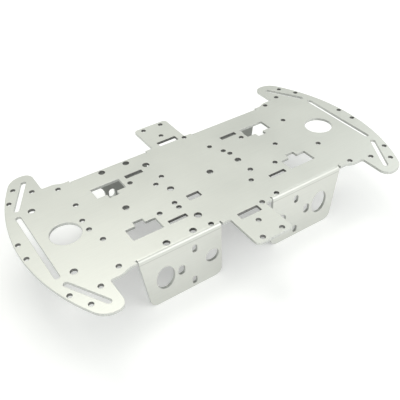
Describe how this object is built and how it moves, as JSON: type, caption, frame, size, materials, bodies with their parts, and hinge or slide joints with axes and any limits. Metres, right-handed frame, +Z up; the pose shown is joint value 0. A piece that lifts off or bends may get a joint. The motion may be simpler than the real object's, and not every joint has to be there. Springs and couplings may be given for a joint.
{
  "type": "mecanum robot chassis plate",
  "caption": "Bare robot chassis: one aluminium sheet with bumper wings, side tabs, slots and screw holes, and motor flanges bent down along both sides.",
  "frame": {"origin": "under the middle of the deck, at the level of the flanges' lower edges", "axes": "+X along the deck to the robot's front, +Y to its left, +Z up out of the deck's top face"},
  "size_m": [0.2594, 0.148, 0.0415],
  "materials": {
    "aluminium_sheet": "satin"
  },
  "bodies": {
    "root": {"deck": "aluminium_sheet", "motor_flange_front_left": "aluminium_sheet", "motor_flange_front_right": "aluminium_sheet", "motor_flange_rear_left": "aluminium_sheet", "motor_flange_rear_right": "aluminium_sheet"}
  },
  "joints": []
}
